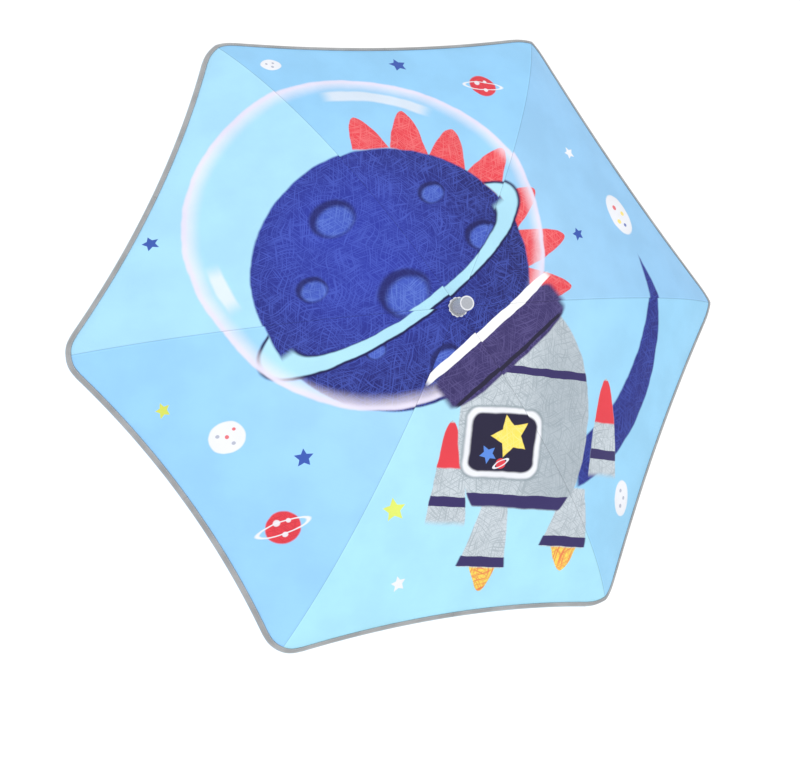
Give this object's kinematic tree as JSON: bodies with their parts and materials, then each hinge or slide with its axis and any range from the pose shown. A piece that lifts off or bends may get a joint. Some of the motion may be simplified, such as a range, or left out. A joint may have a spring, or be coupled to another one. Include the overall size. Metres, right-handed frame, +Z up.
{
  "type": "children's umbrella",
  "caption": "Open child's stick umbrella: scalloped, bound cloth canopy on hinged ribs and stretchers, sliding runner, steel shaft and hooked handle.",
  "frame": {"origin": "middle of the handle's straight grip, on the shaft's axis", "axes": "+Z up along the shaft towards the cap, +X along rib 1 and towards the hook's open side"},
  "size_m": [0.859, 0.7542, 0.6717],
  "materials": {
    "shaft_steel": "chromed steel tube, bright",
    "frame_steel": "zinc plated steel, satin",
    "spring_steel": "bare spring steel",
    "fibreglass": "drawn fibreglass rod, satin",
    "white_plastic": "moulded nylon, satin",
    "cap_plastic": "moulded grey plastic, satin",
    "rosette_cloth": "stiffened cloth washer, light grey",
    "handle_plastic": "moulded plastic, semi gloss, deep blue",
    "canopy_cloth": null,
    "binding_tape": "woven reflective grey binding"
  },
  "bodies": {
    "shaft": {"shaft": "shaft_steel", "crown": "white_plastic", "crown_wire": "frame_steel", "ferrule_cap": "cap_plastic", "rosette": "rosette_cloth", "handle": "handle_plastic", "handle_collar": "shaft_steel"},
    "runner": {"runner": "white_plastic", "runner_wire": "frame_steel"},
    "upper_catch": {"upper_catch": "spring_steel"},
    "lower_catch": {"lower_catch": "spring_steel"},
    "rib_1": {"rib_1": "frame_steel", "joint_rivet_1": "frame_steel", "canopy_inner_1": "canopy_cloth"},
    "rod_1": {"rib_rod_1": "fibreglass", "corner_tip_1": "white_plastic", "edge_binding_1": "binding_tape", "canopy_outer_1": "canopy_cloth"},
    "stretcher_1": {"stretcher_1": "frame_steel"},
    "rib_2": {"rib_2": "frame_steel", "joint_rivet_2": "frame_steel", "canopy_inner_2": "canopy_cloth"},
    "rod_2": {"rib_rod_2": "fibreglass", "corner_tip_2": "white_plastic", "edge_binding_2": "binding_tape", "canopy_outer_2": "canopy_cloth"},
    "stretcher_2": {"stretcher_2": "frame_steel"},
    "rib_3": {"rib_3": "frame_steel", "joint_rivet_3": "frame_steel", "canopy_inner_3": "canopy_cloth"},
    "rod_3": {"rib_rod_3": "fibreglass", "corner_tip_3": "white_plastic", "edge_binding_3": "binding_tape", "canopy_outer_3": "canopy_cloth"},
    "stretcher_3": {"stretcher_3": "frame_steel"},
    "rib_4": {"rib_4": "frame_steel", "joint_rivet_4": "frame_steel", "canopy_inner_4": "canopy_cloth"},
    "rod_4": {"rib_rod_4": "fibreglass", "corner_tip_4": "white_plastic", "edge_binding_4": "binding_tape", "canopy_outer_4": "canopy_cloth"},
    "stretcher_4": {"stretcher_4": "frame_steel"},
    "rib_5": {"rib_5": "frame_steel", "joint_rivet_5": "frame_steel", "canopy_inner_5": "canopy_cloth"},
    "rod_5": {"rib_rod_5": "fibreglass", "corner_tip_5": "white_plastic", "edge_binding_5": "binding_tape", "canopy_outer_5": "canopy_cloth"},
    "stretcher_5": {"stretcher_5": "frame_steel"},
    "rib_6": {"rib_6": "frame_steel", "joint_rivet_6": "frame_steel", "canopy_inner_6": "canopy_cloth"},
    "rod_6": {"rib_rod_6": "fibreglass", "corner_tip_6": "white_plastic", "edge_binding_6": "binding_tape", "canopy_outer_6": "canopy_cloth"},
    "stretcher_6": {"stretcher_6": "frame_steel"}
  },
  "joints": [
    {"name": "fold", "type": "hinge", "parent": "shaft", "child": "rib_1", "pos_m": [0.01, 0, 0.545], "axis": [0, 1, 0], "range_deg": [0, 77.5], "deforming": ["canopy_inner_1"]},
    {"name": "rod_1_flex", "type": "hinge", "parent": "rib_1", "child": "rod_1", "pos_m": [0.1935, 0, 0.52084], "axis": [0, 1, 0], "range_deg": [-20.16, 0.1], "deforming": ["canopy_outer_1", "edge_binding_1"]},
    {"name": "stretcher_1_turn", "type": "hinge", "parent": "rib_1", "child": "stretcher_1", "pos_m": [0.1935, 0, 0.52084], "axis": [0, 1, 0], "range_deg": [-125.18, 0.1]},
    {"name": "rib_2_fold", "type": "hinge", "parent": "shaft", "child": "rib_2", "pos_m": [0.005, 0.00866, 0.545], "axis": [-0.866, 0.5, 0], "range_deg": [-0.1, 77.6], "deforming": ["canopy_inner_2"]},
    {"name": "rod_2_flex", "type": "hinge", "parent": "rib_2", "child": "rod_2", "pos_m": [0.09675, 0.16758, 0.52084], "axis": [-0.866, 0.5, 0], "range_deg": [-20.16, 0.1], "deforming": ["canopy_outer_2", "edge_binding_2"]},
    {"name": "stretcher_2_turn", "type": "hinge", "parent": "rib_2", "child": "stretcher_2", "pos_m": [0.09675, 0.16758, 0.52084], "axis": [-0.866, 0.5, 0], "range_deg": [-125.18, 0.1]},
    {"name": "rib_3_fold", "type": "hinge", "parent": "shaft", "child": "rib_3", "pos_m": [-0.005, 0.00866, 0.545], "axis": [-0.866, -0.5, 0], "range_deg": [-0.1, 77.6], "deforming": ["canopy_inner_3"]},
    {"name": "rod_3_flex", "type": "hinge", "parent": "rib_3", "child": "rod_3", "pos_m": [-0.09675, 0.16758, 0.52084], "axis": [-0.866, -0.5, 0], "range_deg": [-20.16, 0.1], "deforming": ["canopy_outer_3", "edge_binding_3"]},
    {"name": "stretcher_3_turn", "type": "hinge", "parent": "rib_3", "child": "stretcher_3", "pos_m": [-0.09675, 0.16758, 0.52084], "axis": [-0.866, -0.5, 0], "range_deg": [-125.18, 0.1]},
    {"name": "rib_4_fold", "type": "hinge", "parent": "shaft", "child": "rib_4", "pos_m": [-0.01, 0, 0.545], "axis": [0, -1, 0], "range_deg": [-0.1, 77.6], "deforming": ["canopy_inner_4"]},
    {"name": "rod_4_flex", "type": "hinge", "parent": "rib_4", "child": "rod_4", "pos_m": [-0.1935, 0, 0.52084], "axis": [0, -1, 0], "range_deg": [-20.16, 0.1], "deforming": ["canopy_outer_4", "edge_binding_4"]},
    {"name": "stretcher_4_turn", "type": "hinge", "parent": "rib_4", "child": "stretcher_4", "pos_m": [-0.1935, 0, 0.52084], "axis": [0, -1, 0], "range_deg": [-125.18, 0.1]},
    {"name": "rib_5_fold", "type": "hinge", "parent": "shaft", "child": "rib_5", "pos_m": [-0.005, -0.00866, 0.545], "axis": [0.866, -0.5, 0], "range_deg": [-0.1, 77.6], "deforming": ["canopy_inner_5"]},
    {"name": "rod_5_flex", "type": "hinge", "parent": "rib_5", "child": "rod_5", "pos_m": [-0.09675, -0.16758, 0.52084], "axis": [0.866, -0.5, 0], "range_deg": [-20.16, 0.1], "deforming": ["canopy_outer_5", "edge_binding_5"]},
    {"name": "stretcher_5_turn", "type": "hinge", "parent": "rib_5", "child": "stretcher_5", "pos_m": [-0.09675, -0.16758, 0.52084], "axis": [0.866, -0.5, 0], "range_deg": [-125.18, 0.1]},
    {"name": "rib_6_fold", "type": "hinge", "parent": "shaft", "child": "rib_6", "pos_m": [0.005, -0.00866, 0.545], "axis": [0.866, 0.5, 0], "range_deg": [-0.1, 77.6], "deforming": ["canopy_inner_6"]},
    {"name": "rod_6_flex", "type": "hinge", "parent": "rib_6", "child": "rod_6", "pos_m": [0.09675, -0.16758, 0.52084], "axis": [0.866, 0.5, 0], "range_deg": [-20.16, 0.1], "deforming": ["canopy_outer_6", "edge_binding_6"]},
    {"name": "stretcher_6_turn", "type": "hinge", "parent": "rib_6", "child": "stretcher_6", "pos_m": [0.09675, -0.16758, 0.52084], "axis": [0.866, 0.5, 0], "range_deg": [-125.18, 0.1]},
    {"name": "runner_slide", "type": "slide", "parent": "shaft", "child": "runner", "axis": [0, 0, 1], "range_m": [-0.24842, 0.0002]},
    {"name": "upper_catch_press", "type": "hinge", "parent": "shaft", "child": "upper_catch", "pos_m": [0.00221, 0.00127, 0.2946], "axis": [0.5, -0.866, 0], "range_deg": [0, 3], "stiffness_Nm_per_rad": 2},
    {"name": "lower_catch_press", "type": "hinge", "parent": "shaft", "child": "lower_catch", "pos_m": [0.00221, 0.00127, 0.064], "axis": [0.5, -0.866, 0], "range_deg": [0, 3], "stiffness_Nm_per_rad": 2}
  ],
  "couplings": [
    {"joint": "rod_1_flex", "follows": "fold", "ratio": -0.2589},
    {"joint": "stretcher_1_turn", "follows": "fold", "ratio": -1.6139},
    {"joint": "rib_2_fold", "follows": "fold", "ratio": 1},
    {"joint": "rod_2_flex", "follows": "fold", "ratio": -0.2589},
    {"joint": "stretcher_2_turn", "follows": "fold", "ratio": -1.6139},
    {"joint": "rib_3_fold", "follows": "fold", "ratio": 1},
    {"joint": "rod_3_flex", "follows": "fold", "ratio": -0.2589},
    {"joint": "stretcher_3_turn", "follows": "fold", "ratio": -1.6139},
    {"joint": "rib_4_fold", "follows": "fold", "ratio": 1},
    {"joint": "rod_4_flex", "follows": "fold", "ratio": -0.2589},
    {"joint": "stretcher_4_turn", "follows": "fold", "ratio": -1.6139},
    {"joint": "rib_5_fold", "follows": "fold", "ratio": 1},
    {"joint": "rod_5_flex", "follows": "fold", "ratio": -0.2589},
    {"joint": "stretcher_5_turn", "follows": "fold", "ratio": -1.6139},
    {"joint": "rib_6_fold", "follows": "fold", "ratio": 1},
    {"joint": "rod_6_flex", "follows": "fold", "ratio": -0.2589},
    {"joint": "stretcher_6_turn", "follows": "fold", "ratio": -1.6139},
    {"joint": "runner_slide", "follows": "fold", "m_per_rad": -0.18351}
  ]
}
